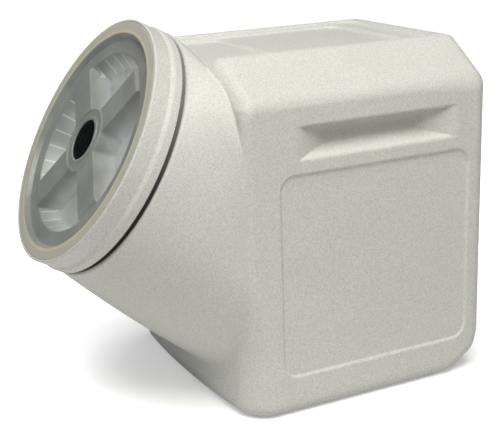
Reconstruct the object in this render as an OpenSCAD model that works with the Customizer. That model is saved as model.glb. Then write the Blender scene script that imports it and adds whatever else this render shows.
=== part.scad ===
// Boxy dry-food storage container with a tilted round mouth, a push-fit
// threaded collar and a dished screw lid with a cross of four raised spokes.
// Millimetres, +Z up, X across the width, the mouth faces -Y.
// Origin: centre of the flat base, on the floor plane.

/* [Box] */
// Overall width of the box
box_w = 362; // [346:1:380]
// Depth of the box, without the neck
box_d = 357.5; // [340:0.5:385]
// Height of the box to the stacking rim
box_h = 449.5; // [438:0.5:462]
// Wall thickness of the moulded shell
wall = 3.2; // [2.5:0.1:4]
// Width of the sloped top facet on each side
facet_w = 69; // [60:1:76]
// Height of the sloped top facet on each side
facet_h = 47.5; // [40:0.5:54]
// Plan radius of the front vertical corners
corner_r = 38; // [26:1:42]
// Plan radius of the rear vertical corners
rear_r = 18; // [14:1:30]

/* [Mouth] */
// Tilt of the mouth axis above horizontal, degrees
tilt = 29.7; // [27.5:0.1:32]
// Distance of the lid centre in front of the box front
mouth_out = 131; // [126:1:142]
// Height of the lid centre above the floor
mouth_z = 350; // [344:1:357]
// Radius of the neck shoulder behind the collar
shoulder_r = 164.5; // [164:0.5:168]

/* [Lid] */
// Half width of a spoke at its top
spoke_hw = 18.9; // [14:0.1:21]
// Angle of the first spoke, degrees
spoke_a = 52.5; // [0:0.5:90]
// Depth of the finger pockets below the flange
pocket_t = 30; // [26:1:31]
// Number of stiffening ribs between skirt and pockets
rib_n = 34; // [12:2:40]

/* [Features] */
// Depth of the hand grips
grip_depth = 20; // [14:1:28]
// Depth of the side panels
panel_depth = 2; // [1:0.5:2.5]
// Depth of the main stacking recess
recess_t = 7.5; // [6:0.5:9]
// Depth of the ledge round the stacking recess
ledge_t = 4; // [2.5:0.5:5]

/* [Hidden] */

half_w = box_w/2;
front_y = -box_d/2;
back_y = box_d/2;
turn_fn = 180;                 // facets of parts turned round the mouth axis
room = 600;                    // size of cutting blocks, wider than the box

shell_color = [0.80, 0.80, 0.765];
lid_color = [0.60, 0.63, 0.60, 0.85];
seal_color = [0.69, 0.63, 0.52];
badge_color = [0.05, 0.055, 0.06];

// ---- helpers -----------------------------------------------------------

// local frame of the mouth: +Z out of the mouth, Z = 0 on the lid face
module at_mouth()
  translate([0, front_y - mouth_out, mouth_z]) rotate([90 - tilt, 0, 0]) children();

function unit(v) = v/norm(v);

// arc that rounds the corner [x, y, radius] between its two neighbours
function corner(before, tip, after, steps) =
  let (p = [tip[0], tip[1]],
       r = tip[2],
       to_before = unit([before[0], before[1]] - p),
       to_after = unit([after[0], after[1]] - p),
       half = acos(max(-1, min(1, to_before*to_after)))/2,
       centre = p + unit(to_before + to_after)*r/sin(half),
       from = p + to_before*r/tan(half) - centre,
       to = p + to_after*r/tan(half) - centre,
       start = atan2(from[1], from[0]),
       turned = atan2(to[1], to[0]) - start,
       sweep = turned > 180 ? turned - 360 : turned < -180 ? turned + 360 : turned)
  r < 0.01 ? [p]
           : [for (i = [0:steps]) let (a = start + sweep*i/steps) centre + r*[cos(a), sin(a)]];

// outline of a polygon given as [x, y, corner radius]
function rounded(pts, steps = 6) =
  let (m = len(pts))
  [for (i = [0:m-1]) each corner(pts[(i + m - 1)%m], pts[i], pts[(i + 1)%m], steps)];

module rounded_rect(x0, x1, y0, y1, r)
  polygon(rounded([[x0, y0, r], [x1, y0, r], [x1, y1, r], [x0, y1, r]]));

// extrude an (x, y) outline along Z, (x, z) along Y and (y, z) along X
module slab_z(z0, z1) translate([0, 0, z0]) linear_extrude(z1 - z0) children();
module slab_y(y0, y1) translate([0, y1, 0]) rotate([90, 0, 0]) linear_extrude(y1 - y0) children();
module slab_x(x0, x1) translate([x0, 0, 0]) rotate([90, 0, 90]) linear_extrude(x1 - x0) children();

// all turned profiles are lists of [radius, z] in the mouth frame
module turn(profile) rotate_extrude($fn = turn_fn) polygon(profile);
// the same, closed flat to the axis at both ends
module turn_solid(edge) turn([[0, edge[0][1]], each edge, [0, edge[len(edge) - 1][1]]]);

// tapered block between two four-point rims
module frustum(rim0, rim1)
  polyhedron(concat(rim0, rim1),
    [[0, 1, 2, 3], [7, 6, 5, 4], [0, 4, 5, 1], [1, 5, 6, 2], [2, 6, 7, 3], [3, 7, 4, 0]]);

module both_sides() {
  children();
  mirror([1, 0, 0]) children();
}

// ---- box ---------------------------------------------------------------
// "inset" moves a face inwards: 0 for the outside, wall for the cavity

bow = 7;                       // forward bow of the front face at mid width
bow_steps = 8;                 // straight pieces in each half of the bow
nose_y = front_y - bow - 5;    // front of the side view, clear of the bow
facet_r = 26;                  // rounding at the foot of the sloped facets
facet_shift = 0.42;            // shift of the facet corners per unit of inset

// gently bowed front, straight sides and back
module plan(inset) {
  r = corner_r - inset;
  back_r = rear_r - inset;
  w = half_w - inset;
  front = front_y + inset;
  back = back_y - inset;
  polygon(concat(
    [for (i = [-bow_steps:bow_steps])
      let (x = (w - r)*i/bow_steps) [x, front - bow + bow*pow(x/(w - r), 2)]],
    corner([0, front], [w, front + 1, r], [w, back], 8),
    corner([w, front], [w, back, back_r], [0, back], 8),
    corner([0, back], [-w, back, back_r], [-w, front], 8),
    corner([-w, back], [-w, front + 1, r], [0, front], 8)));
}

// (x, z) section with a sloped facet at each top corner
module faceted_section(inset, foot_z, foot_r, top_z, top_r, steps) {
  w = half_w - inset;
  foot = foot_z + inset;
  shift = inset*facet_shift;
  facet_z = box_h - facet_h - shift;
  top_w = w - facet_w + shift;
  top = top_z - inset;
  polygon(rounded([[-w, foot, foot_r], [w, foot, foot_r], [w, facet_z, facet_r],
                   [top_w, top, top_r], [-top_w, top, top_r], [-w, facet_z, facet_r]], steps));
}

// (y, z) section, cut away at the foot of the back
module side_view(inset) {
  front = nose_y + inset;
  back = back_y - inset;
  top = box_h - inset;
  polygon(rounded([[front, inset, 12], [back_y - 46, inset, 20], [back - 7, 25, 20],
                   [back, 52, 20], [back, top, 11], [front, top, 11]], 5));
}

module box_solid(inset) intersection() {
  slab_z(-1, box_h + 1) plan(inset);
  slab_y(front_y - 30, back_y + 5)
    faceted_section(inset, foot_z = 0, foot_r = 12, top_z = box_h, top_r = 9, steps = 5);
  slab_x(-half_w - 2, half_w + 2) side_view(inset);
}

// ---- top recess ---------------------------------------------------------

front_bay_t = recess_t + 3;    // depth of the front bay of the stacking recess
bay_step_y = front_y + 106;    // step between the main recess and the front bay

// rounded bay open at the front, "margin" in from the facet's top edge
module recess_bay(back, margin, depth, r) {
  w = half_w - facet_w - margin;
  slab_z(box_h - depth, box_h + 1) rounded_rect(-w, w, front_y - 60, back, r);
}
module top_recess() {
  recess_bay(back = back_y - 27, margin = 10, depth = ledge_t, r = 16);
  recess_bay(back = back_y - 77, margin = 28, depth = recess_t, r = 20);
  recess_bay(back = bay_step_y, margin = 32, depth = front_bay_t, r = 6);
}

// ---- neck --------------------------------------------------------------

neck_bore_r = 152.6;
neck_r = 155.5;
neck_foot_r = 158;             // large lower corners where the neck meets the box
shoulder_z = -45.5;            // shoulder, along the mouth axis
shoulder_edge = 2;             // chamfer of the shoulder

module neck_loft(inset) hull() {
  at_mouth() translate([0, 0, shoulder_z - inset])
    cylinder(r = shoulder_r - inset, h = 1, $fn = 72);
  at_mouth() translate([0, 0, shoulder_z + shoulder_edge - inset*1.3])
    cylinder(r = shoulder_r - shoulder_edge - inset, h = 1, $fn = 72);
  slab_y(front_y + 10 + inset, front_y + corner_r + 6)
    faceted_section(inset, foot_z = 28, foot_r = neck_foot_r - inset,
                    top_z = box_h - front_bay_t + 0.6, top_r = 8, steps = 8);
}

// mouth finish under the collar, with the bead the collar clips over
module neck_finish() at_mouth()
  turn([[neck_bore_r, -8.7], [154.9, -8.7], [neck_r, -9.4], [neck_r, -13.2], [158.2, -15.4],
        [158.2, -17.4], [neck_r, -18.6], [neck_r, -47], [neck_bore_r, -47]]);

// ---- hand grips and side panels ------------------------------------------
// "grow" enlarges a pocket, to keep the wall behind it

grip_y = front_y + 190;        // middle of the grip
grip_floor_z = 344;            // lower edge at the inner end
grip_roof_z = 370;
grip_inner_hl = 66;            // half length at the inner end
grip_outer_hl = 115;           // half length at the box side
grip_drop = 14.5;              // fall of the floor from inner end to box side
grip_over = 2;                 // overshoot beyond the box side

function grip_rim(x, half_l, z0, z1) =
  [[x, grip_y - half_l, z0], [x, grip_y + half_l, z0],
   [x, grip_y + half_l, z1], [x, grip_y - half_l, z1]];

// flared pocket on the +X side, its roof level and its other walls sloped
module grip(grow) {
  reach = 1 + grip_over/grip_depth;
  flared_hl = grip_inner_hl + (grip_outer_hl - grip_inner_hl)*reach;
  floor_z = grip_floor_z - grow;
  roof_z = grip_roof_z + grow;
  frustum(
    grip_rim(half_w - grip_depth - grow, grip_inner_hl + grow*0.7, floor_z, roof_z),
    grip_rim(half_w + grip_over, flared_hl + grow*1.2, floor_z - grip_drop*reach, roof_z));
}

// shallow rounded panel on the +X side
module panel(grow) slab_x(half_w - panel_depth - grow, half_w + 1)
  rounded_rect(front_y + 48.5 - grow, front_y + 329 + grow, 49.5 - grow, 313.5 + grow, 22);

// ---- container ----------------------------------------------------------

module cavity() {
  bay_roof_z = box_h - front_bay_t - wall;
  difference() {
    intersection() {
      box_solid(wall);
      // lower roof under the front bay, higher behind it
      union() {
        slab_z(0, bay_roof_z) square([room, room], center = true);
        translate([-room/2, bay_step_y + wall, 0]) cube([room, 400, box_h - recess_t - wall]);
      }
    }
    both_sides() grip(wall);
    both_sides() panel(wall);
  }
  difference() {
    neck_loft(wall);
    translate([-room/2, front_y + corner_r - 10, bay_roof_z]) cube([room, 60, 60]);
  }
}

module container_body() color(shell_color) difference() {
  union() {
    difference() {
      box_solid(0);
      top_recess();
    }
    neck_loft(0);
    neck_finish();
  }
  both_sides() grip(0);
  both_sides() panel(0);
  cavity();
  at_mouth() translate([0, 0, -60]) cylinder(r = neck_bore_r, h = 70, $fn = turn_fn);
}

// ---- thread -------------------------------------------------------------

lead = 24;
starts = 3;
thread_step = 7.5;             // angular step of the sweep
ridge_base_w = 3.6;
ridge_crest_w = 1.9;
collar_thread_z = -31.5;       // lower ends of the two threads
lid_thread_z = -28;

// one helical trapezoid ridge from z0 to z1; its ends fade to the root
module ridge(root_r, crest_r, z0, z1, start_a) {
  n = round((z1 - z0)/lead*360/thread_step);
  outward = crest_r > root_r;
  function at(i, r, dz) =
    let (a = start_a + i*thread_step)
    [r*cos(a), r*sin(a), z0 + lead*i*thread_step/360 + dz];
  function fade(i) = min(1, (i + 0.4)/2, (n - i + 0.4)/2);
  points = [for (i = [0:n]) let (r = root_r + (crest_r - root_r)*fade(i))
    each [at(i, root_r, -ridge_base_w/2), at(i, r, -ridge_crest_w/2),
          at(i, r, ridge_crest_w/2), at(i, root_r, ridge_base_w/2)]];
  // faces for an outward ridge; an inward one needs them reversed
  function wound(face) = outward ? face : [for (i = [len(face)-1:-1:0]) face[i]];
  polyhedron(points, concat(
    [wound([3, 2, 1, 0]), wound([4*n, 4*n + 1, 4*n + 2, 4*n + 3])],
    [for (i = [0:n-1], j = [0:3]) let (a = 4*i + j, b = 4*i + (j + 1)%4)
      each [wound([b, a + 4, a]), wound([b + 4, a + 4, b])]]));
}
module thread(root_r, crest_r, z0, z1, start_a = 0)
  for (k = [0:starts-1]) ridge(root_r, crest_r, z0, z1, 360/starts*k + start_a);

// ---- collar -------------------------------------------------------------

module collar_ring() color(shell_color) at_mouth() {
  turn([[158.7, -3.2], [158.7, -0.5], [159.3, 0], [160.1, 0], [161.1, -0.5], [161.7, -1.6],
        [161.9, -3], [161.9, -21], [163.9, -28.6], [163.9, -35.4], [163.3, -36.6],
        [162.2, -37.1], [160.9, -37.1], [160.9, -26], [159.3, -24.6], [156.7, -22.6],
        [156.7, -20.4], [159.1, -18.8], [159.1, -6.4], [151.8, -6.4], [151.8, -33.6],
        [151, -34.4], [148.9, -34.4], [148.9, -4.4], [150.2, -3.2]]);
  // half a pitch out of step with the lid's ridges
  thread(149.3, 146.1, collar_thread_z, -10.5,
         360*(lead/starts/2 - (lid_thread_z - collar_thread_z))/lead);
}

module collar_gasket() color(seal_color) at_mouth()
  turn([[152.8, -8.6], [155.3, -8.6], [155.3, -6.5], [152.8, -6.5]]);

// ---- lid ----------------------------------------------------------------

lid_wall = 2.4;
skirt_r = 144.4;
spoke_z = -2.5;                // top of the spokes
spoke_draft = 0.25;            // widening of a spoke per unit of depth
step_z = -6.7;                 // floor of the outer step
step_lap = 0.2;                // overlap of the upper spokes into the lower ones
pocket_z = -pocket_t;          // floor of the finger pockets
pocket_r = 107;                // pocket radius at its floor
under_z = -60;                 // lower end of the underside cuts
badge_r = 26.4;

function spoke_rim(length, hw, z) = [[0, -hw, z], [length, -hw, z], [length, hw, z], [0, hw, z]];

// cross of four drafted spokes, half width top_hw at z1 and wider at z0
module spokes(length, top_hw, z0, z1)
  for (k = [0:3]) rotate([0, 0, spoke_a + 90*k])
    frustum(spoke_rim(length, top_hw + (z1 - z0)*spoke_draft, z0),
            spoke_rim(length, top_hw, z1));

// outer step and finger pockets, leaving the spokes and hub
module lid_upper_cut() difference() {
  union() {
    turn_solid([[144.6, 3], [142.6, 0], [138.6, step_z]]);
    turn_solid([[120.2, step_z + 1], [119.7, step_z], [pocket_r, pocket_z]]);
  }
  // short above the step, running into the pocket wall below it
  spokes(116.3, spoke_hw, step_z - step_lap, spoke_z);
  spokes(126, spoke_hw + spoke_draft*(spoke_z - step_z + step_lap), pocket_z - 2, step_z);
  turn_solid([[42.6, -1.7], [43.4, -2.6], [39, pocket_z - 2]]);
}

// hollow between skirt and pockets, and inside the spokes and hub
module lid_under_cut() {
  roof_z = step_z - lid_wall;
  skirt_bore_r = skirt_r - lid_wall;
  pocket_wall_r = pocket_r + lid_wall;
  rib_w = 1.6;
  difference() {
    turn_solid([[138.4, roof_z], [skirt_bore_r, roof_z - 3], [skirt_bore_r, -40]]);
    turn_solid([[122.8, roof_z + 5], [pocket_wall_r, pocket_z], [pocket_wall_r, under_z]]);
    for (k = [0:rib_n-1]) rotate([0, 0, 183 + 360/rib_n*k])
      translate([105, -rib_w/2, -27]) cube([40, rib_w, 30]);
  }
  spokes(111, spoke_hw - lid_wall, under_z, spoke_z - lid_wall);
  turn_solid([[28, -7.4], [29.5, -4.9], [39.6, -4.9], [40.3, -5.6], [36, under_z]]);
}

module spin_lid() color(lid_color) at_mouth() {
  difference() {
    turn_solid([[157, 0], [157.7, -0.3], [158, -1], [158, -1.9], [157.6, -2.6],
                [skirt_r, -2.6], [skirt_r, pocket_z - lid_wall]]);
    lid_upper_cut();
    lid_under_cut();
    // seat of the badge and the groove round it
    turn_solid([[badge_r + 0.2, 1], [badge_r + 0.2, -4.8]]);
    turn([[31, 1], [39.6, 1], [39.2, -2.6], [31.4, -2.6]]);
  }
  thread(144.1, 147.2, lid_thread_z, -11);
}

module lid_gasket() color(seal_color) at_mouth()
  turn([[144.6, -3], [147.9, -2.8], [148.6, -3.6], [148.6, -5.6], [147.9, -6.3], [144.6, -6.3]]);

module hub_badge() color(badge_color) at_mouth()
  turn([[0, -4.7], [badge_r, -4.7], [badge_r, -3.3], [25.8, -2.8], [23, -2.7], [0, -2.5]]);

container_body();
collar_ring();
collar_gasket();
spin_lid();
lid_gasket();
hub_badge();
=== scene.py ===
import bpy, bmesh
import math
import numpy as np
from mathutils import Vector, Matrix


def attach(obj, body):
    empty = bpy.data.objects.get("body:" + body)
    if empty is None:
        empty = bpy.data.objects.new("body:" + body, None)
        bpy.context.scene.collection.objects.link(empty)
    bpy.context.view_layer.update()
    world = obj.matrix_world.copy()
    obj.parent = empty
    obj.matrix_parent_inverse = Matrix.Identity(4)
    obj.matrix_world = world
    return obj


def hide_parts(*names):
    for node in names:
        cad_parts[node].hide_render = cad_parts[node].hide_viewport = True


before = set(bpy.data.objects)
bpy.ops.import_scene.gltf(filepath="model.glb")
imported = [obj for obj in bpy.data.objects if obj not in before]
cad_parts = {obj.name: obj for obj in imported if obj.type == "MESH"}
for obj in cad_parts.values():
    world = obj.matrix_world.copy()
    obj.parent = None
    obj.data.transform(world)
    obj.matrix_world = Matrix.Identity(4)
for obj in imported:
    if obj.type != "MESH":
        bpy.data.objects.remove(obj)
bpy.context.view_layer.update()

# ---------------------------------------------------------------- geometry
# All shapes below are in millimetres in the CAD frame and become metres when
# they are turned into meshes.
TILT = math.radians(29.7)
NY, NZ = -math.cos(TILT), math.sin(TILT)      # outward axis of the mouth
VY, VZ = math.sin(TILT), math.cos(TILT)       # upward direction on the lid
MY, MZ = -309.75, 350.0                       # centre of the lid face
HW, YF, YB, TOP = 181.0, -178.75, 178.75, 449.5 # half width, front, back, rim


def rmax(a, b, r):
    """Intersection whose edge is rounded with radius r (90 degree faces)."""
    return (np.minimum(np.maximum(a, b), -r)
            + np.hypot(np.maximum(a + r, 0), np.maximum(b + r, 0)))


def rmin(a, b, r):
    return -rmax(-a, -b, r)


def ss(a, b, x):
    t = np.clip((x - a) / (b - a), 0, 1)
    return t * t * (3 - 2 * t)


def rrect(u, v, u0, u1, v0, v1, r):
    """Signed distance to a rounded rectangle."""
    du = np.abs(u - (u0 + u1) / 2) - (u1 - u0) / 2 + r
    dv = np.abs(v - (v0 + v1) / 2) - (v1 - v0) / 2 + r
    return (np.minimum(np.maximum(du, dv), 0)
            + np.hypot(np.maximum(du, 0), np.maximum(dv, 0)) - r)


def mouth_uvt(y, z):
    """Height on the lid and depth behind the lid face."""
    dy, dz = y - MY, z - MZ
    return dy * VY + dz * VZ, -(dy * NY + dz * NZ)


# line where the mouth plane meets the plane in which the neck ends
SH_T = 45.5
AX_Y = YF + 10.0
SC_Y, SC_Z = MY - SH_T * NY, MZ - SH_T * NZ
RC0 = (AX_Y - SC_Y) / VY
AX_Z = SC_Z + RC0 * VZ
SEC_TOP, SEC_BOT = TOP - 10.2, 28.0
BE = (SEC_TOP - SEC_BOT) / (2 * 164.5)
AL = (AX_Z - SEC_TOP) - BE * (RC0 - 164.5)


def neck(x, y, z):
    """Loft from the round shoulder to the box-wide section."""
    ax = np.abs(x)
    dy, dz = y - AX_Y, AX_Z - z
    p0 = np.maximum(-dy / VY, 1e-3)           # share along the mouth plane
    p1 = dz - p0 * VZ                         # share straight down
    b = AL + BE * p0 + p1
    k = (b - np.sqrt(np.maximum(b * b - 4 * AL * p1, 0))) / (2 * AL)
    k = np.where(p0 <= 1e-3, 1.0, np.clip(k, -0.1, 1.0))
    r0 = np.where(k > 0.999, 0.0, p0 / np.maximum(1 - k, 1e-3))
    behind = k > 0.999
    r1 = np.where(behind, dz, AL + BE * r0)
    r0 = np.where(behind, (dz - AL) / BE, r0)
    circle = np.hypot(x, r0 - RC0) - 164.5
    zz = AX_Z - r1
    sec = rmax(ax - HW + 2.6, SEC_BOT - zz, 158.0)
    slope = ((ax - HW) * 47.5 + (zz - (TOP - 47.5)) * 69) / 83.77 + 2.6
    sec = rmax(sec, rmax(rmax(ax - HW + 2.6, slope, 60.0), zz - SEC_TOP, NECK_TOP_R), 2.0)
    f = (1 - k) * circle + k * sec
    low = ss(60, -60, RC0 - r0)        # 1 on the underside
    f = f - (BULGE_S + (BULGE_B - BULGE_S) * low) * 4 * k * (1 - k)
    f = f + 0.12 * np.maximum(dy, 0)
    f = np.maximum(f, y - YF - 50.0)
    u, t = mouth_uvt(y, z)
    return rmax(f, 43.4 - t, 2.6)


NECK_TOP_R = 55.0
BULGE_S, BULGE_B = 2.5, 4.5


def top_z(x, y):
    """Stacking recess: rim, ledge, main floor and the deeper front bay."""
    ax = np.abs(x)
    a = rrect(ax, y, -102, 102, YF - 150, YB - 27, 24)
    b = rrect(ax, y, -95, 95, YF - 150, YB - 61, 26)
    c = rrect(ax, y, -92, 92, YF - 150, YF + 106, 7)
    return (TOP - 4.0 * ss(0, 1, -a / 3.6) - 3.5 * ss(0, 1, -b / 3.6)
            - 3.0 * ss(0, 1, -c / 4.5))


def grip(ax, y, z):
    yc = YF + 190.0
    roof = z - 370.0
    floor = -((z - 329.5) * 20 + (ax - HW) * 14.5) / 24.7
    ends = ((np.abs(y - yc) - 115.0) * 20 - (ax - HW) * 49.0) / 52.9
    back = HW - 20.0 - ax
    g = rmax(back, floor, 1.4)
    g = rmax(g, ends, 0.9)
    return rmax(g, roof, 1.2)


def body_outer(x, y, z):
    ax = np.abs(x)
    pan = rrect(y, z, YF + 48.5, YF + 329.0, 49.5, 313.5, 22)
    side = ax - HW + 2.7 * ss(0, 1, -pan / 3.2)
    fr = 8.5 + 6 * ss(60, 170, y)
    facet = ((ax - HW) * 47.5 + (z - (TOP - 47.5)) * 69) / 83.77
    s = rmax(side, facet, fr)
    s = rmax(s, z - top_z(x, y), 3.2)
    back = rmax(y - YB, (27 * (y - YB) - 7 * (z - 52.0)) / 27.89, 6.0)
    back = rmax(back, (25 * (y - YB + 46.0) - 39 * z) / 46.33, 12.0)
    rb = 19
    a = rmax(s, back, rb)
    front = (YF - 7.0 + 7.0 * (np.minimum(ax, 165) / 143.0) ** 2) - y
    rf = 38 - 26 * ss(60, 185, z) + 7 * ss(380, 405, z)
    a = rmax(a, front, rf)
    a = rmax(a, -z, 15 - 8 * ss(107, 157, y))
    rn = 1.0 + 6 * ss(150, 90, z)
    a = rmin(a, neck(x, y, z), rn)
    return rmax(a, -grip(ax, y, z), 2.2)


# ---------------------------------------------------------------- meshing

def nets(f, lo, hi, h, lip=1.7, block=4):
    """Closed quad mesh of f = 0 on a regular grid, snapped onto the surface."""
    lo = np.array(lo, np.float64)
    nb = np.ceil((np.array(hi) - lo) / (h * block)).astype(int)
    n = nb * block + 1
    ax = [(lo[i] + h * np.arange(n[i])).astype(np.float32) for i in range(3)]
    bc = [(lo[i] + h * block * (np.arange(nb[i]) + 0.5)).astype(np.float32) for i in range(3)]
    d = f(*np.meshgrid(*bc, indexing="ij"))
    act = np.abs(d) < block * h * 0.87 * lip

    def rep(m):
        return m.repeat(block, 0).repeat(block, 1).repeat(block, 2)
    cell = rep(act)
    neg = rep(d < 0)
    pm = np.zeros(n, bool)
    g = np.ones(n, np.float32) * 100
    for a in (0, 1):
        for b in (0, 1):
            for c in (0, 1):
                sl = (slice(a, n[0] - 1 + a), slice(b, n[1] - 1 + b), slice(c, n[2] - 1 + c))
                pm[sl] |= cell
                if a == b == c == 0:
                    g[sl] = np.where(neg, -100, 100)
    i, j, k = np.nonzero(pm)
    out = np.empty(len(i), np.float32)
    for s in range(0, len(i), 400000):
        e = slice(s, s + 400000)
        out[e] = f(ax[0][i[e]], ax[1][j[e]], ax[2][k[e]])
    g[i, j, k] = out
    s = g < 0
    cnt = np.zeros(n - 1, np.int8)
    for a in (0, 1):
        for b in (0, 1):
            for c in (0, 1):
                cnt += s[a:n[0] - 1 + a, b:n[1] - 1 + b, c:n[2] - 1 + c]
    mixed = (cnt > 0) & (cnt < 8)
    ci, cj, ck = np.nonzero(mixed)
    vid = np.full(n - 1, -1, np.int32)
    vid[ci, cj, ck] = np.arange(len(ci))
    cs = [(a, b, c) for a in (0, 1) for b in (0, 1) for c in (0, 1)]
    gv = [g[ci + a, cj + b, ck + c] for a, b, c in cs]
    acc = np.zeros((len(ci), 3)); num = np.zeros(len(ci))
    for p in range(8):
        for q in range(p + 1, 8):
            dd = np.abs(np.subtract(cs[p], cs[q]))
            if dd.sum() != 1:
                continue
            cross = (gv[p] < 0) != (gv[q] < 0)
            t = np.where(cross, gv[p] / np.where(cross, gv[p] - gv[q], 1), 0)
            P = np.array(cs[p], float) + t[:, None] * (np.array(cs[q], float) - np.array(cs[p], float))
            acc += P * cross[:, None]; num += cross
    v = acc / num[:, None]
    v = lo + h * (np.stack([ci, cj, ck], 1) + v)
    quads = []
    for axis in range(3):
        o = [(1, 2), (2, 0), (0, 1)][axis]
        a = np.take(s, range(n[axis] - 1), axis)
        b = np.take(s, range(1, n[axis]), axis)
        ch = a != b
        e = np.array(np.nonzero(ch))
        ok = (e[o[0]] > 0) & (e[o[1]] > 0) & (e[o[0]] < n[o[0]] - 1) & (e[o[1]] < n[o[1]] - 1)
        e = e[:, ok]
        flip = ~a[tuple(e)]
        q = []
        for du, dv in ((1, 1), (0, 1), (0, 0), (1, 0)):
            w = e.copy(); w[o[0]] -= du; w[o[1]] -= dv
            q.append(vid[tuple(w)])
        q = np.stack(q, 1)
        q[flip] = q[flip][:, ::-1]
        quads.append(q)
    quads = np.concatenate(quads)
    start = v.copy()
    for it in range(3):
        d, nr, gl = grad(f, v, 0.25 * h)
        v = v - nr * (d / np.maximum(gl, 0.3))[:, None]
        v = start + np.clip(v - start, -0.75 * h, 0.75 * h)
    return v, quads


def grad(f, v, e):
    """Value, unit normal and slope of f at points v."""
    v = v.astype(np.float32)
    out = []
    d = f(v[:, 0], v[:, 1], v[:, 2])
    for i in range(3):
        a = v.copy(); a[:, i] += e
        b = v.copy(); b[:, i] -= e
        out.append((f(a[:, 0], a[:, 1], a[:, 2]) - f(b[:, 0], b[:, 1], b[:, 2])) / (2 * e))
    g = np.stack(out, 1)
    gl = np.linalg.norm(g, axis=1)
    return d, g / np.maximum(gl, 1e-6)[:, None], gl

# ---------------------------------------------------------------- lid shape

SPOKE_A = 52.5
RIB_N = 34


def lid_shape(u, v, w):
    """Screw lid in its own frame: u, v on the face, w outwards, 0 on the face."""
    r = np.hypot(u, v)
    t = -w
    flange = rmax(r - 158.4, np.abs(t - 1.3) - 1.3, 0.9)
    plug = rmax(r - 144.4, t - 32.4, 1.2)
    solid = rmin(flange, np.maximum(plug, 1.0 - t), 0.8)
    # dish and step, then the four pockets
    dish = np.maximum((r - (142.6 - 0.597 * t)) * 0.859, t - 6.7)
    pocket = rmax((r - (119.7 - (t - 6.7) * 0.545)) * 0.878, t - 30.0, 4.0)
    pocket = np.maximum(pocket, 4.0 - t)
    cut = rmin(dish, pocket, 0.8)
    # cross of four raised spokes and the hub boss
    keep = None
    for a0 in (SPOKE_A, SPOKE_A + 90):
        c, s = math.cos(math.radians(a0)), math.sin(math.radians(a0))
        al = np.abs(u * c + v * s)
        ac = np.abs(-u * s + v * c)
        bar = rmax((ac - (18.9 + 0.25 * (t - 2.5))) * 0.970, 2.5 - t, 1.3)
        bar = rmax(bar, np.minimum((al - 115.2 - (t - 2.5) * 1.1) * 0.67, 6.7 - t), 1.0)
        keep = bar if keep is None else rmin(keep, bar, 2.0)
    hub = rmax((r - (42.6 + 0.12 * (t - 1.7))) * 0.99, 1.7 - t, 0.9)
    keep = rmin(keep, hub, 2.5)
    cut = rmax(cut, -keep, 2.2)
    lid = rmax(solid, -cut, 0.9)
    # stepped rings round the badge and its seat
    groove = rmax(np.abs(r - 35.3) - 4.1, t - 2.7, 0.5)
    lid = rmax(lid, -groove, 0.5)
    seat = rmax(r - 26.7, t - 4.8, 0.3)
    lid = rmax(lid, -seat, 0.6)
    # hollow underside: annular gap with ribs, spokes and hub
    gap = rmax(r - 142.0, 9.2 - t, 1.0)
    gap = rmax(gap, -(r - (122.4 - (t - 6.7) * 0.545)) * 0.878, 1.0)
    ph = np.degrees(np.arctan2(v, u)) - 183.0
    st = 360.0 / RIB_N
    off = (ph + st / 2) % st - st / 2
    rib = np.abs(np.radians(off) * r) - 1.0
    gap = np.maximum(gap, -rib)
    hollow = gap
    for a0 in (SPOKE_A, SPOKE_A + 90):
        c, s = math.cos(math.radians(a0)), math.sin(math.radians(a0))
        al = np.abs(u * c + v * s)
        ac = np.abs(-u * s + v * c)
        bar = rmax((ac - (16.4 + 0.25 * (t - 2.5))) * 0.970, 5.0 - t, 1.5)
        bar = rmax(bar, al - 104.0, 1.5)
        bar = np.maximum(bar, 30.5 - r)
        hollow = np.minimum(hollow, bar)
    hollow = np.minimum(hollow, rmax(np.maximum(r - 39.8, 29.5 - r), 5.2 - t, 1.0))
    hollow = np.minimum(hollow, rmax(r - 27.0, 7.4 - t, 1.0))
    lid = rmax(lid, -hollow, 0.4)
    # three-start thread on the skirt
    hp = (w + 28.0 - np.degrees(np.arctan2(v, u)) / 15.0 + 4.0) % 8.0 - 4.0
    thread = rmax(r - 147.0, np.abs(hp) - (0.95 + (147.2 - r) * 0.27), 0.5)
    thread = np.maximum(thread, np.maximum(w + 11.0, -28.0 - w))
    thread = np.maximum(thread, 143.3 - r)
    return rmin(lid, thread, 0.5)


# ---------------------------------------------------------------- mesh helpers

def to_world(p):
    """Points of the mouth frame (u, v, w) in the CAD frame."""
    p = np.asarray(p, float)
    return np.stack([p[:, 0], MY + p[:, 1] * VY + p[:, 2] * NY,
                     MZ + p[:, 1] * VZ + p[:, 2] * NZ], 1)


def make(name, v, faces, sharp=None):
    me = bpy.data.meshes.new(name)
    v = np.ascontiguousarray(np.asarray(v, np.float64) * 0.001, np.float32)
    faces = [f for f in faces] if not isinstance(faces, np.ndarray) else faces
    if isinstance(faces, np.ndarray):
        n, k = faces.shape
        me.vertices.add(len(v)); me.vertices.foreach_set("co", v.ravel())
        me.loops.add(n * k); me.loops.foreach_set("vertex_index", faces.ravel().astype(np.int32))
        me.polygons.add(n)
        me.polygons.foreach_set("loop_start", np.arange(0, n * k, k, dtype=np.int32))
        me.polygons.foreach_set("loop_total", np.full(n, k, np.int32))
        me.update(calc_edges=True)
    else:
        me.from_pydata([tuple(x) for x in v], [], [tuple(int(i) for i in f) for f in faces])
    me.polygons.foreach_set("use_smooth", np.ones(len(me.polygons), bool))
    me.validate()
    ob = bpy.data.objects.new(name, me)
    bpy.context.scene.collection.objects.link(ob)
    return ob


def apply_mods(ob):
    """Bakes every modifier of ob into its mesh."""
    dg = bpy.context.evaluated_depsgraph_get()
    me = bpy.data.meshes.new_from_object(ob.evaluated_get(dg))
    old = ob.data
    ob.modifiers.clear()
    ob.data = me
    bpy.data.meshes.remove(old)


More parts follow.
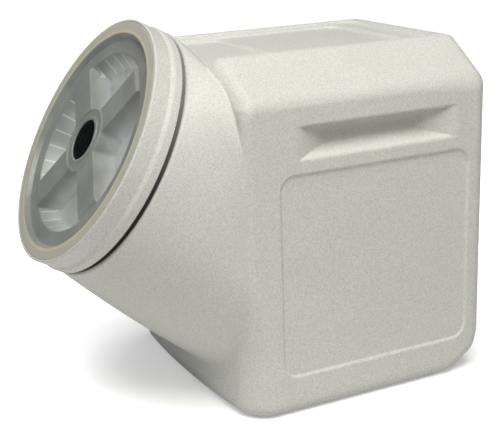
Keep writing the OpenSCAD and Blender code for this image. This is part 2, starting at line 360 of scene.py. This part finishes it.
def thin_out(ob, tris):
    ob.data.calc_loop_triangles()
    n = len(ob.data.loop_triangles)
    if n > tris:
        m = ob.modifiers.new("thin", "DECIMATE")
        m.ratio = tris / n
        m.use_collapse_triangulate = True
        apply_mods(ob)


def boolean(ob, other, op):
    m = ob.modifiers.new("cut", "BOOLEAN")
    m.operation = op
    m.object = other
    m.solver = "MANIFOLD"
    n = len(ob.data.vertices)
    apply_mods(ob)
    me = other.data
    bpy.data.objects.remove(other)
    bpy.data.meshes.remove(me)
    if len(ob.data.vertices) == 0:
        raise RuntimeError("empty boolean: " + ob.name)


def keep_main(ob):
    """Drops crumbs: only the largest connected body stays."""
    me = ob.data
    nv = len(me.vertices)
    e = np.empty(len(me.edges) * 2, np.int32); me.edges.foreach_get("vertices", e)
    e = e.reshape(-1, 2)
    lab = np.arange(nv)
    while True:
        low = np.minimum(lab[e[:, 0]], lab[e[:, 1]])
        new = lab.copy()
        np.minimum.at(new, e[:, 0], low); np.minimum.at(new, e[:, 1], low)
        new = new[new]
        if (new == lab).all():
            break
        lab = new
    big = np.bincount(lab).argmax()
    if (lab == big).all():
        return
    bm = bmesh.new(); bm.from_mesh(me)
    bm.verts.ensure_lookup_table()
    bmesh.ops.delete(bm, geom=[bm.verts[int(i)] for i in np.nonzero(lab != big)[0]], context="VERTS")
    bm.to_mesh(me); bm.free()


def smooth_normals(ob, f, local=False, tol=0.35, angle=32):
    """Shading normals from the shape function wherever a face lies on it."""
    me = ob.data
    nv, nl = len(me.vertices), len(me.loops)
    co = np.empty(nv * 3, np.float32); me.vertices.foreach_get("co", co)
    co = co.reshape(-1, 3).astype(np.float64) * 1000.0
    if local:
        d0 = co - np.array([0, MY, MZ])
        q = np.stack([d0[:, 0], d0[:, 1] * VY + d0[:, 2] * VZ, d0[:, 1] * NY + d0[:, 2] * NZ], 1)
    else:
        q = co
    d, n, gl = grad(f, q, 0.35 if local else 0.5)
    if local:
        n = np.stack([n[:, 0], n[:, 1] * VY + n[:, 2] * NY, n[:, 1] * VZ + n[:, 2] * NZ], 1)
    mark_sharp(ob, angle)
    base = np.empty(nl * 3, np.float32)
    me.corner_normals.foreach_get("vector", base)
    base = base.reshape(-1, 3)
    vi = np.empty(nl, np.int32); me.loops.foreach_get("vertex_index", vi)
    fn = np.empty(len(me.polygons) * 3, np.float32); me.polygons.foreach_get("normal", fn)
    fn = fn.reshape(-1, 3)
    lt = np.empty(len(me.polygons), np.int32); me.polygons.foreach_get("loop_total", lt)
    fl = np.repeat(np.arange(len(me.polygons)), lt)
    ok = (np.abs(d) < tol)[vi] & ((n[vi] * fn[fl]).sum(1) > 0.72)
    out = np.where(ok[:, None], n[vi], base)
    me.normals_split_custom_set([tuple(x) for x in out])


def mark_sharp(ob, angle):
    bm = bmesh.new(); bm.from_mesh(ob.data)
    lim = math.radians(angle)
    for e in bm.edges:
        e.smooth = not (len(e.link_faces) == 2 and e.calc_face_angle(0) > lim)
    for f in bm.faces:
        f.smooth = True
    bm.to_mesh(ob.data); bm.free()


def round_poly(pts, n=5):
    """Closed profile with corners [x, y, r] rounded."""
    out = []
    m = len(pts)
    for i in range(m):
        a, b, c = (np.array(pts[(i + k - 1) % m][:2], float) for k in range(3))
        r = pts[i][2]
        u, w = (a - b) / np.linalg.norm(a - b), (c - b) / np.linalg.norm(c - b)
        h = math.acos(max(-1, min(1, float(u @ w)))) / 2
        if r < 0.01 or h > 1.56:
            out.append(tuple(b)); continue
        q = b + (u + w) / np.linalg.norm(u + w) * r / math.sin(h)
        s, e = b + u * r / math.tan(h), b + w * r / math.tan(h)
        a0 = math.atan2(*(s - q)[::-1]); a1 = math.atan2(*(e - q)[::-1])
        d = (a1 - a0 + math.pi) % (2 * math.pi) - math.pi
        k = max(2, int(n * abs(d) / 1.57 + 1.5))
        out += [tuple(q + r * np.array([math.cos(a0 + d * j / k), math.sin(a0 + d * j / k)])) for j in range(k + 1)]
    return out


def lathe(name, prof, seg=300, fine=None, push=None):
    """Closed ring swept round the mouth axis from a closed (r, w) profile."""
    p = [np.array(x, float) for x in prof]
    if fine:
        q = []
        for i in range(len(p)):
            a, b = p[i], p[(i + 1) % len(p)]
            k = max(1, int(np.linalg.norm(b - a) / fine))
            q += [a + (b - a) * j / k for j in range(k)]
        p = q
    p = np.array(p)
    ph = np.linspace(0, 2 * np.pi, seg, endpoint=False)
    R = np.repeat(p[:, 0][None], seg, 0); W = np.repeat(p[:, 1][None], seg, 0)
    PH = np.repeat(ph[:, None], len(p), 1)
    if push is not None:
        R = push(R, W, PH)
    v = np.stack([R * np.cos(PH), R * np.sin(PH), W], -1).reshape(-1, 3)
    n = len(p)
    i, j = np.meshgrid(np.arange(seg), np.arange(n), indexing="ij")
    i2, j2 = (i + 1) % seg, (j + 1) % n
    f = np.stack([i * n + j, i2 * n + j, i2 * n + j2, i * n + j2], -1).reshape(-1, 4)
    area = 0.5 * np.sum(p[:, 0] * np.roll(p[:, 1], -1) - np.roll(p[:, 0], -1) * p[:, 1])
    if area < 0:
        f = f[:, ::-1]
    return make(name, to_world(v), np.ascontiguousarray(f))


def disc(name, prof, seg=160):
    """Solid of revolution whose open profile starts and ends on the axis."""
    p = np.array(prof, float)
    inner = p[1:-1]
    ph = np.linspace(0, 2 * np.pi, seg, endpoint=False)
    v = [(0, 0, p[0][1])]
    for a in ph:
        v += [(r * math.cos(a), r * math.sin(a), w) for r, w in inner]
    v.append((0, 0, p[-1][1]))
    n = len(inner)
    f = []
    last = 1 + seg * n
    for i in range(seg):
        i2 = (i + 1) % seg
        f.append((0, 1 + i * n, 1 + i2 * n))
        for j in range(n - 1):
            f.append((1 + i * n + j, 1 + i * n + j + 1, 1 + i2 * n + j + 1, 1 + i2 * n + j))
        f.append((last, 1 + i2 * n + n - 1, 1 + i * n + n - 1))
    ob = make(name, to_world(np.array(v, float)), f)
    bm = bmesh.new(); bm.from_mesh(ob.data)
    bmesh.ops.recalc_face_normals(bm, faces=bm.faces)
    bm.to_mesh(ob.data); bm.free()
    return ob


# ---------------------------------------------------------------- the pieces

# container: outer skin, inner skin, mouth finish
h_out, h_in = ((2.1, 5.0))
v, q = nets(body_outer, (-190, -400, -8), (190, 188, 500), h_out)
shell = make("shell_body", v, np.ascontiguousarray(q))
thin_out(shell, 136000)
v, q = nets(lambda x, y, z: body_outer(x, y, z) + 4.6, (-190, -400, -8), (190, 188, 500), h_in)
inner = make("inner", v, np.ascontiguousarray(q))
thin_out(inner, 20000)
finish = lathe("finish", round_poly([(152.4, -8.7, 0.6), (155.2, -8.7, 0.8), (155.5, -13.2, 0.8), (158.2, -15.6, 0.6),
                                     (158.2, -17.6, 0.6), (155.5, -18.8, 0.8), (155.5, -49.0, 0), (152.4, -49.0, 0)]), 240)
bore = disc("bore", [(0, 10), (152.5, 10), (152.5, -64), (0, -64)], 240)
boolean(shell, finish, "UNION")
boolean(shell, inner, "DIFFERENCE")
boolean(shell, bore, "DIFFERENCE")
keep_main(shell)
smooth_normals(shell, body_outer)

# collar with the threads inside
COLLAR = round_poly([(158.7, -3.2, 0.0), (158.7, 0.0, 0.9), (161.9, 0.0, 1.6), (161.3, -21.6, 1.2), (163.9, -26.6, 1.6),
                     (163.9, -37.1, 1.7), (160.9, -37.1, 0.5), (160.9, -25.2, 1.0), (156.7, -22.6, 0.5), (156.7, -20.4, 0.5),
                     (159.1, -18.8, 0.5), (159.1, -6.4, 0.8), (151.8, -6.4, 0.8), (151.8, -34.4, 0.8), (148.9, -34.4, 1.0),
                     (148.9, -3.2, 1.0)])


def collar_thread(R, W, PH):
    hp = (W + 31.5 - (np.degrees(PH) - 7.5) / 15.0 + 4.0) % 8.0 - 4.0
    lift = 2.8 * np.clip((1.8 - np.abs(hp)) / 0.85, 0, 1)
    lift = lift * ss(-33.2, -31.0, W) * ss(-9.0, -11.2, W)
    return np.where((R < 149.5) & (W < -8.5), R - lift, R)


collar = lathe("collar_ring_skin", COLLAR, 400, 1.15, collar_thread)
mark_sharp(collar, 40)

cgask = lathe("neck_seal", round_poly([(152.8, -8.6, 0.5), (155.3, -8.6, 0.5), (155.3, -6.5, 0.5), (152.8, -6.5, 0.5)], 4), 240)
lgask = lathe("lid_seal_ring", round_poly([(144.6, -2.8, 0.4), (148.0, -2.7, 1.0), (148.6, -4.4, 1.2), (148.0, -6.3, 1.0), (144.6, -6.2, 0.5)], 5), 300)

# lid
h_lid = 1.15
v, q = nets(lid_shape, (-161, -161, -35), (161, 161, 3), h_lid, lip=1.5)
lid = make("screw_lid", to_world(v), np.ascontiguousarray(q))
thin_out(lid, 185000)
keep_main(lid)
smooth_normals(lid, lid_shape, local=True, tol=0.25)

badge = disc("badge_disc", [(0, -4.7), (26.3, -4.7)] + [(26.4, -3.9), (26.3, -3.2), (25.8, -2.85), (24.6, -2.8), (24.0, -3.15),
             (23.2, -3.2), (22.6, -2.85), (21.5, -2.75), (14.0, -2.62), (13.2, -2.95), (12.4, -2.95), (11.6, -2.6), (6.0, -2.52), (0, -2.5)], 144)
mark_sharp(badge, 50)

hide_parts("container_body"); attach(shell, "container")
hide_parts("collar_ring"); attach(collar, "container")
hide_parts("collar_gasket"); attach(cgask, "container")
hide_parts("lid_gasket"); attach(lgask, "lid_seal")
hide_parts("spin_lid"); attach(lid, "lid")
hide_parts("hub_badge"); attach(badge, "lid")

# ---------------------------------------------------------------- materials

def node_mat(name):
    m = bpy.data.materials.new(name)
    m.use_nodes = True
    nt = m.node_tree
    b = nt.nodes["Principled BSDF"]
    return m, nt, b


def add(nt, kind, **kw):
    n = nt.nodes.new(kind)
    for k, v in kw.items():
        if k in n.inputs:
            n.inputs[k].default_value = v
        else:
            setattr(n, k, v)
    return n


def ramp(nt, src, stops):
    r = nt.nodes.new("ShaderNodeValToRGB")
    r.color_ramp.elements[0].position = stops[0][0]; r.color_ramp.elements[0].color = stops[0][1]
    r.color_ramp.elements[1].position = stops[-1][0]; r.color_ramp.elements[1].color = stops[-1][1]
    for p, c in stops[1:-1]:
        e = r.color_ramp.elements.new(p); e.color = c
    nt.links.new(src, r.inputs["Fac"])
    return r.outputs["Color"]


def mix(nt, fac, a, b, kind="MIX"):
    m = nt.nodes.new("ShaderNodeMix"); m.data_type = "RGBA"; m.blend_type = kind
    for s, val in ((0, fac), (6, a), (7, b)):
        if hasattr(val, "is_output"):
            nt.links.new(val, m.inputs[s])
        else:
            m.inputs[s].default_value = val
    return m.outputs[2]


def math_node(nt, op, a, b=None, c=None):
    m = nt.nodes.new("ShaderNodeMath"); m.operation = op
    for i, val in enumerate((a, b, c)):
        if val is None:
            continue
        if hasattr(val, "is_output"):
            nt.links.new(val, m.inputs[i])
        else:
            m.inputs[i].default_value = val
    return m.outputs[0]


def g(x, y=None, z=None):
    return (x, x if y is None else y, x if z is None else z, 1)


def shell_material():
    """Blow-moulded polyethylene with a fine granite speckle."""
    m, nt, b = node_mat("speckled_shell")
    co = nt.nodes.new("ShaderNodeTexCoord").outputs["Object"]
    L = nt.links.new
    fine = add(nt, "ShaderNodeTexNoise", Scale=540.0, Detail=2.5, Roughness=0.75); L(co, fine.inputs["Vector"])
    mid = add(nt, "ShaderNodeTexNoise", Scale=330.0, Detail=2.0, Roughness=0.6); L(co, mid.inputs["Vector"])
    big = add(nt, "ShaderNodeTexNoise", Scale=7.0, Detail=2.0, Roughness=0.5); L(co, big.inputs["Vector"])
    spots = add(nt, "ShaderNodeTexVoronoi", Scale=420.0, Randomness=1.0); L(co, spots.inputs["Vector"])
    base = ramp(nt, fine.outputs["Fac"], [(0.28, g(0.575, 0.59, 0.548)), (0.5, g(0.75, 0.75, 0.703)), (0.72, g(0.88, 0.87, 0.815))])
    c2 = ramp(nt, mid.outputs["Fac"], [(0.35, g(0.945)), (0.65, g(1.0))])
    base = mix(nt, 1.0, base, c2, "MULTIPLY")
    c3 = ramp(nt, big.outputs["Fac"], [(0.3, g(0.965, 0.97, 0.965)), (0.7, g(1.0))])
    base = mix(nt, 1.0, base, c3, "MULTIPLY")
    sp = ramp(nt, spots.outputs["Distance"], [(0.10, g(1.0)), (0.26, g(0.0))])
    keepsp = ramp(nt, spots.outputs["Color"], [(0.55, g(0.0)), (0.72, g(1.0))])
    sm = mix(nt, 1.0, sp, keepsp, "MULTIPLY")
    base = mix(nt, math_node(nt, "MULTIPLY", sm, 0.30), base, g(0.42, 0.44, 0.42))
    # painted shade: the deep undercut behind the collar is coloured near black, fading towards the top where light gets
    # in
    _, mr, _, mw = lid_local(nt)
    under = math_node(nt, "MULTIPLY", band(nt, mw, -0.0436, -0.0374, 0.0003), band(nt, mr, 0.100, 0.1606, 0.0008))
    up = nt.nodes.new("ShaderNodeSeparateXYZ"); L(co, up.inputs[0])
    hi = nt.nodes.new("ShaderNodeMapRange"); L(up.outputs["Z"], hi.inputs["Value"])
    hi.inputs["From Min"].default_value = 0.30; hi.inputs["From Max"].default_value = 0.46
    hi.inputs["To Min"].default_value = 0.93; hi.inputs["To Max"].default_value = 0.45
    base = mix(nt, math_node(nt, "MULTIPLY", under, hi.outputs[0]), base, g(0.03, 0.032, 0.032))
    # painted contact shade: the base colour darkens towards the bottom of the shell
    bottom_painted_shade = nt.nodes.new("ShaderNodeMapRange"); bottom_painted_shade.interpolation_type = "SMOOTHSTEP"
    L(up.outputs["Z"], bottom_painted_shade.inputs["Value"])
    bottom_painted_shade.inputs["From Min"].default_value = 0.0; bottom_painted_shade.inputs["From Max"].default_value = 0.026
    bottom_painted_shade.inputs["To Min"].default_value = 0.26; bottom_painted_shade.inputs["To Max"].default_value = 0.0
    base = mix(nt, bottom_painted_shade.outputs[0], base, g(0.30, 0.31, 0.30))
    L(base, b.inputs["Base Color"])
    rr = ramp(nt, mid.outputs["Fac"], [(0.3, g(0.46)), (0.7, g(0.60))])
    L(rr, b.inputs["Roughness"])
    h = math_node(nt, "ADD", math_node(nt, "MULTIPLY", fine.outputs["Fac"], 0.6), math_node(nt, "MULTIPLY", mid.outputs["Fac"], 1.0))
    bp = add(nt, "ShaderNodeBump", Strength=0.13, Distance=0.0005); L(h, bp.inputs["Height"])
    L(bp.outputs["Normal"], b.inputs["Normal"])
    b.inputs["Specular IOR Level"].default_value = 0.35
    b.inputs["Subsurface Weight"].default_value = 0.08
    b.inputs["Subsurface Radius"].default_value = (1, 1, 1)
    b.inputs["Subsurface Scale"].default_value = 0.002
    return m


def lid_local(nt):
    """Radius, angle and depth in the frame of the lid."""
    co = nt.nodes.new("ShaderNodeTexCoord").outputs["Object"]
    mp = nt.nodes.new("ShaderNodeVectorMath"); mp.operation = "SUBTRACT"
    nt.links.new(co, mp.inputs[0]); mp.inputs[1].default_value = (0, MY * 0.001, MZ * 0.001)
    def dot(a):
        d = nt.nodes.new("ShaderNodeVectorMath"); d.operation = "DOT_PRODUCT"
        nt.links.new(mp.outputs[0], d.inputs[0]); d.inputs[1].default_value = a
        return d.outputs["Value"]
    u, v, w = dot((1, 0, 0)), dot((0, VY, VZ)), dot((0, NY, NZ))
    r = math_node(nt, "SQRT", math_node(nt, "ADD", math_node(nt, "MULTIPLY", u, u), math_node(nt, "MULTIPLY", v, v)))
    return co, r, math_node(nt, "ARCTAN2", v, u), w


def band(nt, x, lo, hi, soft):
    """1 where lo < x < hi, with soft edges."""
    a = nt.nodes.new("ShaderNodeMapRange"); a.interpolation_type = "SMOOTHSTEP"
    nt.links.new(x, a.inputs["Value"])
    a.inputs["From Min"].default_value = lo - soft; a.inputs["From Max"].default_value = lo + soft
    c = nt.nodes.new("ShaderNodeMapRange"); c.interpolation_type = "SMOOTHSTEP"
    nt.links.new(x, c.inputs["Value"])
    c.inputs["From Min"].default_value = hi - soft; c.inputs["From Max"].default_value = hi + soft
    c.inputs["To Min"].default_value = 1; c.inputs["To Max"].default_value = 0
    return math_node(nt, "MULTIPLY", a.outputs[0], c.outputs[0])


def lid_material():
    """Natural translucent polypropylene: what lies behind shows through."""
    m, nt, b = node_mat("translucent_lid")
    L = nt.links.new
    co, r, ang, w = lid_local(nt)
    cloud = add(nt, "ShaderNodeTexNoise", Scale=26.0, Detail=3.0, Roughness=0.55); L(co, cloud.inputs["Vector"])
    fine = add(nt, "ShaderNodeTexNoise", Scale=700.0, Detail=1.0); L(co, fine.inputs["Vector"])
    col = ramp(nt, cloud.outputs["Fac"], [(0.3, g(0.232, 0.247, 0.230)), (0.7, g(0.300, 0.312, 0.288))])
    # the flange lies on the pale ring and shows lighter
    fl = band(nt, r, 0.1445, 0.170, 0.0012)
    col = mix(nt, fl, col, g(0.50, 0.495, 0.42))
    # tan seal under the flange
    tan = band(nt, r, 0.1434, 0.1474, 0.0007)
    col = mix(nt, math_node(nt, "MULTIPLY", tan, 0.80), col, g(0.64, 0.58, 0.44))
    # ribs behind the pocket walls
    st = 2 * math.pi / RIB_N
    k = math_node(nt, "DIVIDE", math_node(nt, "SUBTRACT", ang, math.radians(183.0)), st)
    fr = math_node(nt, "ABSOLUTE", math_node(nt, "SUBTRACT", math_node(nt, "FRACT", math_node(nt, "ADD", k, 0.5 + 100)), 0.5))
    line = math_node(nt, "LESS_THAN", math_node(nt, "MULTIPLY", fr, st * 0.115), 0.0010)
    zone = math_node(nt, "MULTIPLY", band(nt, r, 0.1065, 0.1205, 0.0006), band(nt, w, -0.0295, -0.0085, 0.0006))
    col = mix(nt, math_node(nt, "MULTIPLY", math_node(nt, "MULTIPLY", line, zone), 0.55), col, g(0.62, 0.66, 0.60))
    # mottling of the thin pocket floors
    L(col, b.inputs["Base Color"])
    b.inputs["Roughness"].default_value = 0.33
    rr = ramp(nt, cloud.outputs["Fac"], [(0.3, g(0.28)), (0.7, g(0.40))])
    L(rr, b.inputs["Roughness"])
    bp = add(nt, "ShaderNodeBump", Strength=0.10, Distance=0.0004); L(fine.outputs["Fac"], bp.inputs["Height"])
    L(bp.outputs["Normal"], b.inputs["Normal"])
    # painted light: the lid emits a faint mottled light of its own, strongest deep in the pockets, standing in for
    # daylight coming through the pale body behind the lid
    deep = nt.nodes.new("ShaderNodeMapRange"); deep.interpolation_type = "SMOOTHSTEP"
    L(w, deep.inputs["Value"])
    deep.inputs["From Min"].default_value = -0.030; deep.inputs["From Max"].default_value = -0.004
    deep.inputs["To Min"].default_value = 1.0; deep.inputs["To Max"].default_value = 0.0
    L(mix(nt, deep.outputs[0], col, g(0.30, 0.325, 0.325)), b.inputs["Emission Color"])
    patch = ramp(nt, cloud.outputs["Fac"], [(0.3, g(0.75)), (0.7, g(1.25))])
    painted_glow_strength = math_node(nt, "MULTIPLY_ADD", deep.outputs[0], 0.46, 0.08)
    L(math_node(nt, "MULTIPLY", painted_glow_strength, patch), b.inputs["Emission Strength"])
    b.inputs["Subsurface Weight"].default_value = 0.6
    b.inputs["Subsurface Radius"].default_value = (1, 1, 1)
    b.inputs["Subsurface Scale"].default_value = 0.008
    b.inputs["Specular IOR Level"].default_value = 0.5
    return m


def seal_material():
    m, nt, b = node_mat("tan_seal")
    L = nt.links.new
    co = nt.nodes.new("ShaderNodeTexCoord").outputs["Object"]
    n1 = add(nt, "ShaderNodeTexNoise", Scale=300.0, Detail=3.0); L(co, n1.inputs["Vector"])
    L(ramp(nt, n1.outputs["Fac"], [(0.3, g(0.42, 0.36, 0.25)), (0.7, g(0.50, 0.43, 0.31))]), b.inputs["Base Color"])
    L(ramp(nt, n1.outputs["Fac"], [(0.3, g(0.65)), (0.7, g(0.8))]), b.inputs["Roughness"])
    bp = add(nt, "ShaderNodeBump", Strength=0.2, Distance=0.0003); L(n1.outputs["Fac"], bp.inputs["Height"])
    L(bp.outputs["Normal"], b.inputs["Normal"])
    return m


def badge_material():
    m, nt, b = node_mat("black_badge")
    L = nt.links.new
    co = nt.nodes.new("ShaderNodeTexCoord").outputs["Object"]
    n1 = add(nt, "ShaderNodeTexNoise", Scale=900.0, Detail=2.0); L(co, n1.inputs["Vector"])
    n2 = add(nt, "ShaderNodeTexNoise", Scale=60.0, Detail=2.0); L(co, n2.inputs["Vector"])
    L(ramp(nt, n2.outputs["Fac"], [(0.3, g(0.003, 0.004, 0.005)), (0.7, g(0.007, 0.008, 0.009))]), b.inputs["Base Color"])
    L(ramp(nt, n2.outputs["Fac"], [(0.3, g(0.34)), (0.7, g(0.46))]), b.inputs["Roughness"])
    bp = add(nt, "ShaderNodeBump", Strength=0.12, Distance=0.0002); L(n1.outputs["Fac"], bp.inputs["Height"])
    L(bp.outputs["Normal"], b.inputs["Normal"])
    b.inputs["Specular IOR Level"].default_value = 0.12
    return m


def put(ob, mat):
    ob.data.materials.clear(); ob.data.materials.append(mat)


SH, LI, SE, BA = shell_material(), lid_material(), seal_material(), badge_material()
for o, mt in ((shell, SH), (collar, SH), (cgask, SE), (lgask, SE), (lid, LI), (badge, BA)):
    put(o, mt)
for name, mt in (("container_body", SH), ("collar_ring", SH), ("collar_gasket", SE), ("lid_gasket", SE), ("spin_lid", LI), ("hub_badge", BA)):
    put(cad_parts[name], mt)

# ---------------------------------------------------------------- stage

def floor_material():
    m, nt, b = node_mat("pale_floor")
    L = nt.links.new
    n1 = add(nt, "ShaderNodeTexNoise", Scale=3.0, Detail=2.0)
    L(nt.nodes.new("ShaderNodeTexCoord").outputs["Object"], n1.inputs["Vector"])
    L(ramp(nt, n1.outputs["Fac"], [(0.3, g(0.84)), (0.7, g(0.86))]), b.inputs["Base Color"])
    b.inputs["Roughness"].default_value = 0.9
    b.inputs["Specular IOR Level"].default_value = 0.1
    b.inputs["Emission Color"].default_value = (1, 1, 1, 1)
    # the paper sweep fades to plain white away from the object
    ln = nt.nodes.new("ShaderNodeVectorMath"); ln.operation = "LENGTH"
    L(nt.nodes.new("ShaderNodeTexCoord").outputs["Object"], ln.inputs[0])
    far = nt.nodes.new("ShaderNodeMapRange"); far.interpolation_type = "SMOOTHSTEP"
    L(ln.outputs["Value"], far.inputs["Value"])
    far.inputs["From Min"].default_value = 0.24; far.inputs["From Max"].default_value = 0.52
    far.inputs["To Min"].default_value = 0.78; far.inputs["To Max"].default_value = 1.0
    # soft contact shade where the object stands
    ao = nt.nodes.new("ShaderNodeAmbientOcclusion"); ao.samples = 12
    ao.inputs["Distance"].default_value = 0.12
    shade = math_node(nt, "MAXIMUM", math_node(nt, "POWER", ao.outputs["AO"], 1.3), 0.45)
    cam = math_node(nt, "MULTIPLY", nt.nodes.new("ShaderNodeLightPath").outputs["Is Camera Ray"], far.outputs[0])
    L(math_node(nt, "MULTIPLY", cam, shade), b.inputs["Emission Strength"])
    return m


me = bpy.data.meshes.new("floor")
me.from_pydata([(-6, -6, 0), (6, -6, 0), (6, 6, 0), (-6, 6, 0)], [], [(0, 1, 2, 3)])
floor = bpy.data.objects.new("floor", me)
floor.location = (0, 0, -0.0004)
bpy.context.scene.collection.objects.link(floor)
floor.data.materials.append(floor_material())


def area(name, loc, aim, size, power, col=(1, 1, 1)):
    li = bpy.data.lights.new(name, "AREA")
    li.shape = "RECTANGLE"; li.size, li.size_y = size
    li.energy = power; li.color = col
    ob = bpy.data.objects.new(name, li)
    ob.location = loc
    ob.rotation_euler = (Vector(aim) - Vector(loc)).to_track_quat("-Z", "Y").to_euler()
    bpy.context.scene.collection.objects.link(ob)
    return ob



CENTRE = Vector((0, -0.05, 0.2))


def soft(name, way, power, col, gloss=True):
    ob = area(name, CENTRE + Vector(way).normalized() * 2.6, CENTRE, (1.6, 1.6), power, col)
    ob.visible_glossy = gloss


soft("over", (0.45, -0.12, 0.9), 65.5, (1.0, 0.985, 0.95))
soft("fill", (0.0, -0.8, 0.6), 7.0, (0.96, 0.985, 1.0), False)
soft("left", (-0.8, -0.5, 0.5), 8.0, (0.95, 0.985, 1.0), False)

# the backdrop is white to the camera and adds no light of its own
world = bpy.data.worlds.new("studio"); bpy.context.scene.world = world
world.use_nodes = True
wt = world.node_tree
bg = wt.nodes["Background"]
bg.inputs[0].default_value = (1, 1, 1, 1)
wt.links.new(math_node(wt, "MULTIPLY_ADD", wt.nodes.new("ShaderNodeLightPath").outputs["Is Camera Ray"], 1.0, 0.02), bg.inputs[1])

AZ, EL, DIST, ROLL, FOC = math.radians(63.13), math.radians(16.85), 1.5691, math.radians(-1.87), 1146.83
bk = Vector((math.sin(AZ) * math.cos(EL), -math.cos(AZ) * math.cos(EL), math.sin(EL)))
rt = Vector((math.cos(AZ), math.sin(AZ), 0)); up = bk.cross(rt)
r2 = rt * math.cos(ROLL) + up * math.sin(ROLL); u2 = -rt * math.sin(ROLL) + up * math.cos(ROLL)
target = Vector((0, (102.07 - 178.75) * 0.001, 0.20232)) - r2 * 0.0027
cam = bpy.data.cameras.new("camera"); cam.sensor_width = 36; cam.lens = FOC / 500 * 36; cam.clip_end = 50
co = bpy.data.objects.new("camera", cam)
loc = target + bk * DIST
co.matrix_world = Matrix(((r2.x, u2.x, bk.x, loc.x), (r2.y, u2.y, bk.y, loc.y), (r2.z, u2.z, bk.z, loc.z), (0, 0, 0, 1)))
bpy.context.scene.collection.objects.link(co)
bpy.context.scene.camera = co
bpy.context.scene.view_settings.view_transform = "Standard"
